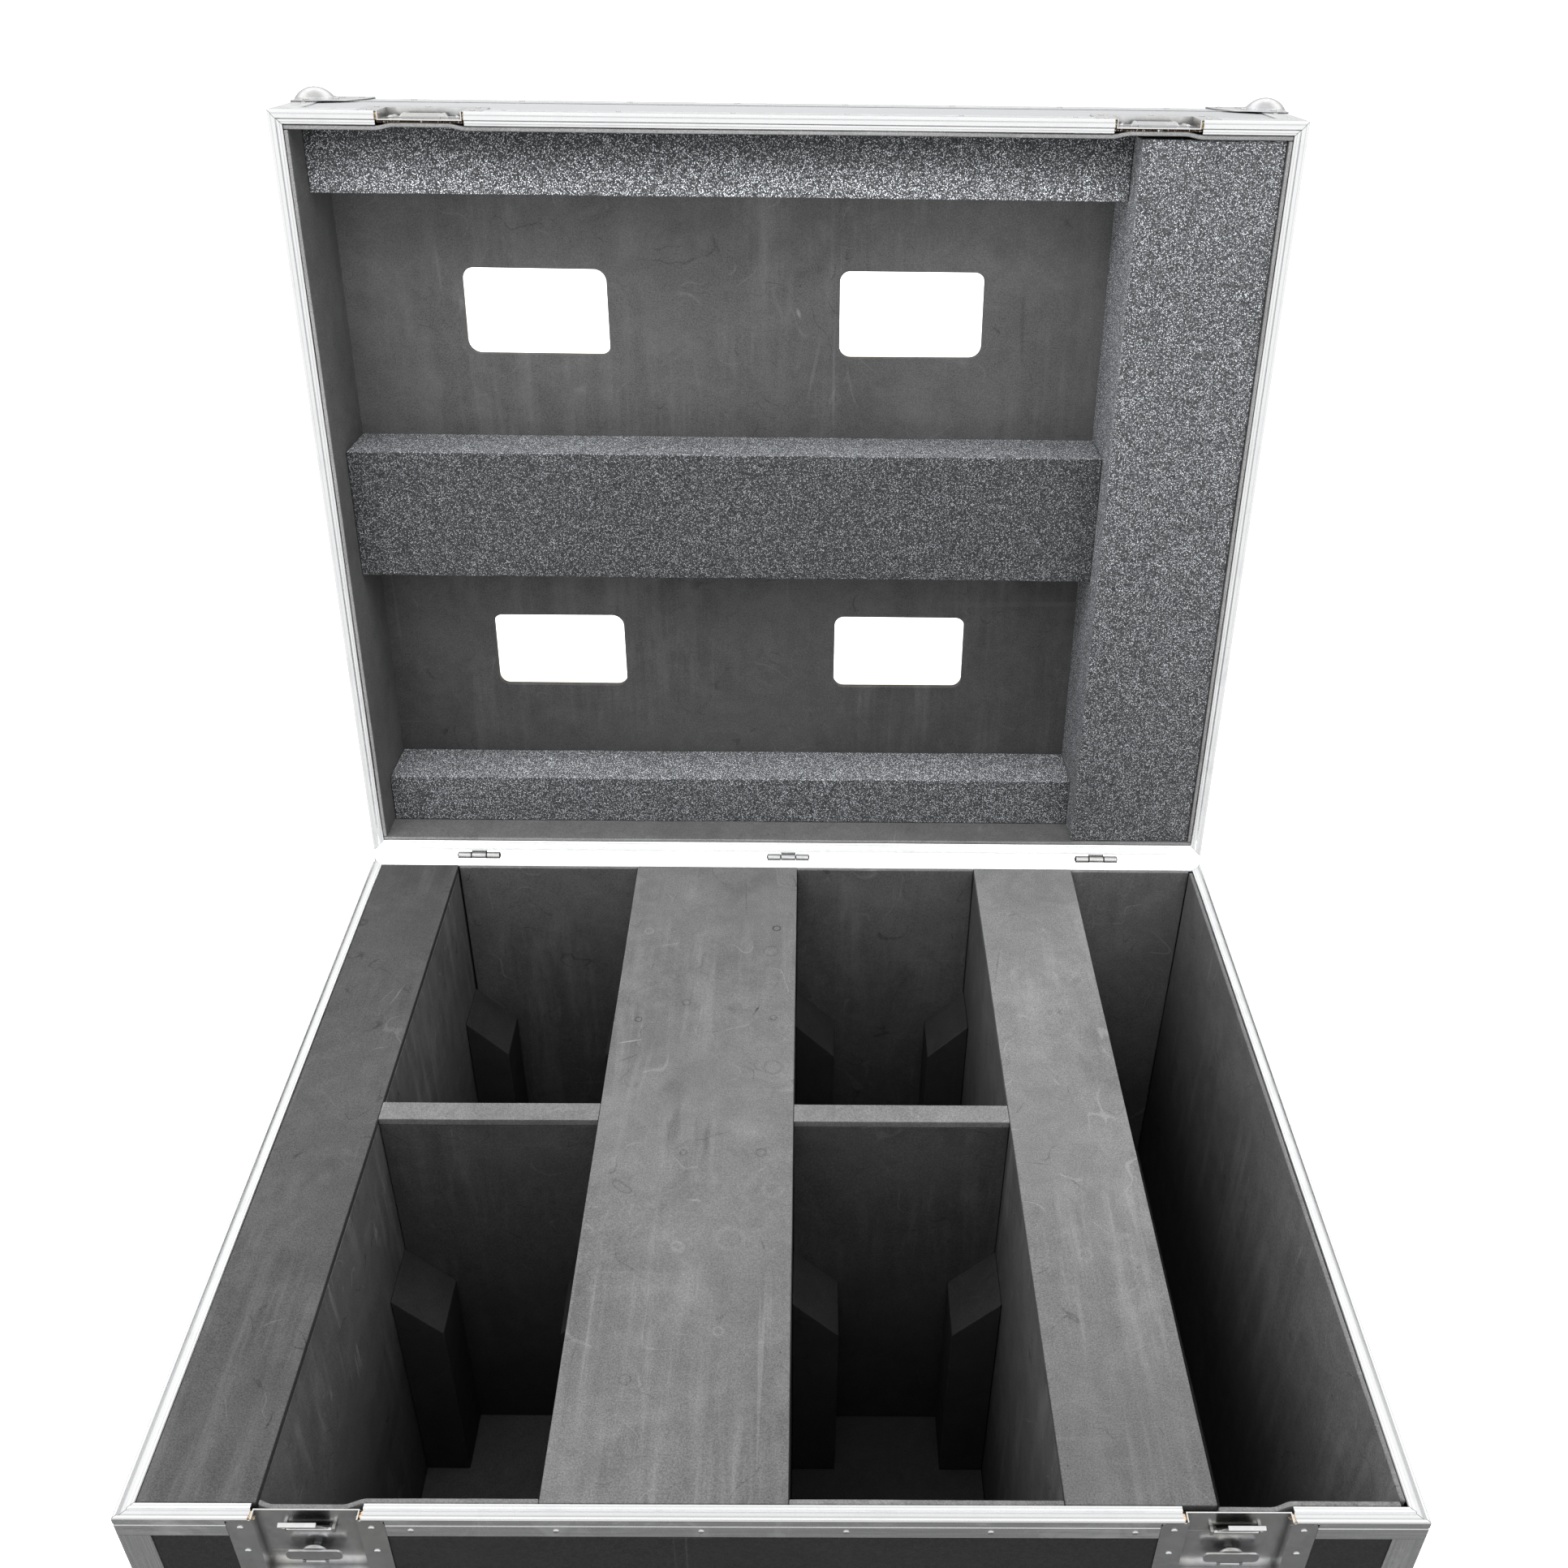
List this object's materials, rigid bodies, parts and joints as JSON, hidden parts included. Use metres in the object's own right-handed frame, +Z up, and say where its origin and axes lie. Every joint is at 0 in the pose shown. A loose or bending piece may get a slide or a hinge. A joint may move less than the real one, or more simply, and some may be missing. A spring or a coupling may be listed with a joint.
{
  "type": "wheeled flight case",
  "caption": "Aluminium-edged wheeled flight case standing open, with a hinged foam-lined lid, deep padded compartments, a side channel and recessed latches.",
  "frame": {"origin": "centre of the floor panel's underside, between the castor plates", "axes": "+Z up, +X to the right as seen from the latch side, +Y to the hinge side"},
  "size_m": [1.2084, 1.271, 1.7198],
  "materials": {
    "aluminium_extrusion": "satin anodised extrusion",
    "zinc_steel": "bright zinc plated pressed steel",
    "laminated_plywood": "black fine-textured laminate on plywood",
    "lining_foam": "dark grey closed-cell lining foam, matt with scuffs",
    "block_foam": "bluish grey block foam with bright cell specks",
    "castor_tyre": "blue elastic tyre on a moulded centre",
    "rubber_grip": "black moulded rubber"
  },
  "bodies": {
    "base": {"base_back_panel": "laminated_plywood", "base_edge_frame": "aluminium_extrusion", "base_floor_panel": "laminated_plywood", "base_front_panel": "laminated_plywood", "base_left_panel": "laminated_plywood", "base_lining": "lining_foam", "base_rail_frame": "aluminium_extrusion", "base_rail_front": "aluminium_extrusion", "base_right_panel": "laminated_plywood", "castor_back_left_plate": "zinc_steel", "castor_back_right_plate": "zinc_steel", "castor_front_left_plate": "zinc_steel", "castor_front_right_plate": "zinc_steel", "centre_rib": "lining_foam", "handle_left_dish": "zinc_steel", "handle_right_dish": "zinc_steel", "hinge_centre_base_leaf": "zinc_steel", "hinge_left_base_leaf": "zinc_steel", "hinge_right_base_leaf": "zinc_steel", "insert_back_left": "lining_foam", "insert_back_right": "lining_foam", "insert_front_left": "lining_foam", "insert_front_right": "lining_foam", "latch_left_dish": "zinc_steel", "latch_right_dish": "zinc_steel", "left_divider": "lining_foam", "left_rib": "lining_foam", "right_divider": "lining_foam", "right_rib": "lining_foam"},
    "lid": {"hinge_centre_lid_leaf": "zinc_steel", "hinge_left_lid_leaf": "zinc_steel", "hinge_right_lid_leaf": "zinc_steel", "latch_left_keeper": "zinc_steel", "latch_right_keeper": "zinc_steel", "lid_bar_back": "block_foam", "lid_bar_front": "block_foam", "lid_bar_middle": "block_foam", "lid_edge_frame": "aluminium_extrusion", "lid_lining": "lining_foam", "lid_rail_frame": "aluminium_extrusion", "lid_rail_front": "aluminium_extrusion", "lid_side_block": "block_foam", "lid_top_panel": "laminated_plywood", "lid_wall_frame": "laminated_plywood"},
    "latch_left_boss": {"latch_left_boss": "zinc_steel"},
    "latch_left_wing": {"latch_left_wing": "zinc_steel"},
    "latch_left_hook": {"latch_left_hook": "zinc_steel"},
    "latch_right_boss": {"latch_right_boss": "zinc_steel"},
    "latch_right_wing": {"latch_right_wing": "zinc_steel"},
    "latch_right_hook": {"latch_right_hook": "zinc_steel"},
    "castor_front_left_fork": {"castor_front_left_fork": "zinc_steel"},
    "castor_front_left_wheel": {"castor_front_left_wheel": "castor_tyre"},
    "castor_front_right_fork": {"castor_front_right_fork": "zinc_steel"},
    "castor_front_right_wheel": {"castor_front_right_wheel": "castor_tyre"},
    "castor_back_left_fork": {"castor_back_left_fork": "zinc_steel"},
    "castor_back_left_wheel": {"castor_back_left_wheel": "castor_tyre"},
    "castor_back_right_fork": {"castor_back_right_fork": "zinc_steel"},
    "castor_back_right_wheel": {"castor_back_right_wheel": "castor_tyre"},
    "handle_left_grip": {"handle_left_grip": "rubber_grip"},
    "handle_right_grip": {"handle_right_grip": "rubber_grip"}
  },
  "joints": [
    {"name": "lid_hinge", "type": "hinge", "parent": "base", "child": "lid", "pos_m": [0, 0.502, 0.6], "axis": [1, 0, 0], "range_deg": [0, 95.6]},
    {"name": "latch_left_turn", "type": "hinge", "parent": "base", "child": "latch_left_boss", "pos_m": [-0.426, -0.492, 0.538], "axis": [0, -1, 0], "range_deg": [0, 180]},
    {"name": "latch_left_wing_fold", "type": "hinge", "parent": "latch_left_boss", "child": "latch_left_wing", "pos_m": [-0.426, -0.4946, 0.5306], "axis": [1, 0, 0], "range_deg": [0, 90]},
    {"name": "latch_left_hook_swing", "type": "hinge", "parent": "base", "child": "latch_left_hook", "pos_m": [-0.426, -0.4895, 0.576], "axis": [1, 0, 0], "range_deg": [-28, 0]},
    {"name": "latch_right_turn", "type": "hinge", "parent": "base", "child": "latch_right_boss", "pos_m": [0.426, -0.492, 0.538], "axis": [0, -1, 0], "range_deg": [0, 180]},
    {"name": "latch_right_wing_fold", "type": "hinge", "parent": "latch_right_boss", "child": "latch_right_wing", "pos_m": [0.426, -0.4946, 0.5306], "axis": [1, 0, 0], "range_deg": [0, 90]},
    {"name": "latch_right_hook_swing", "type": "hinge", "parent": "base", "child": "latch_right_hook", "pos_m": [0.426, -0.4895, 0.576], "axis": [1, 0, 0], "range_deg": [-28, 0]},
    {"name": "castor_front_left_swivel", "type": "hinge", "parent": "base", "child": "castor_front_left_fork", "pos_m": [-0.5, -0.395, -0.01], "axis": [0, 0, 1], "continuous": true},
    {"name": "castor_front_left_roll", "type": "hinge", "parent": "castor_front_left_fork", "child": "castor_front_left_wheel", "pos_m": [-0.5, -0.43, -0.078], "axis": [1, 0, 0], "continuous": true},
    {"name": "castor_front_right_swivel", "type": "hinge", "parent": "base", "child": "castor_front_right_fork", "pos_m": [0.5, -0.395, -0.01], "axis": [0, 0, 1], "continuous": true},
    {"name": "castor_front_right_roll", "type": "hinge", "parent": "castor_front_right_fork", "child": "castor_front_right_wheel", "pos_m": [0.5, -0.43, -0.078], "axis": [1, 0, 0], "continuous": true},
    {"name": "castor_back_left_swivel", "type": "hinge", "parent": "base", "child": "castor_back_left_fork", "pos_m": [-0.5, 0.395, -0.01], "axis": [0, 0, 1], "continuous": true},
    {"name": "castor_back_left_roll", "type": "hinge", "parent": "castor_back_left_fork", "child": "castor_back_left_wheel", "pos_m": [-0.5, 0.36, -0.078], "axis": [1, 0, 0], "continuous": true},
    {"name": "castor_back_right_swivel", "type": "hinge", "parent": "base", "child": "castor_back_right_fork", "pos_m": [0.5, 0.395, -0.01], "axis": [0, 0, 1], "continuous": true},
    {"name": "castor_back_right_roll", "type": "hinge", "parent": "castor_back_right_fork", "child": "castor_back_right_wheel", "pos_m": [0.5, 0.36, -0.078], "axis": [1, 0, 0], "continuous": true},
    {"name": "handle_left_lift", "type": "hinge", "parent": "base", "child": "handle_left_grip", "pos_m": [-0.5952, 0, 0.361], "axis": [0, 1, 0], "range_deg": [0, 90]},
    {"name": "handle_right_lift", "type": "hinge", "parent": "base", "child": "handle_right_grip", "pos_m": [0.5952, 0, 0.361], "axis": [0, -1, 0], "range_deg": [0, 90]}
  ],
  "couplings": [
    {"joint": "latch_left_hook_swing", "follows": "latch_left_turn", "ratio": -0.15556},
    {"joint": "latch_right_hook_swing", "follows": "latch_right_turn", "ratio": -0.15556}
  ]
}
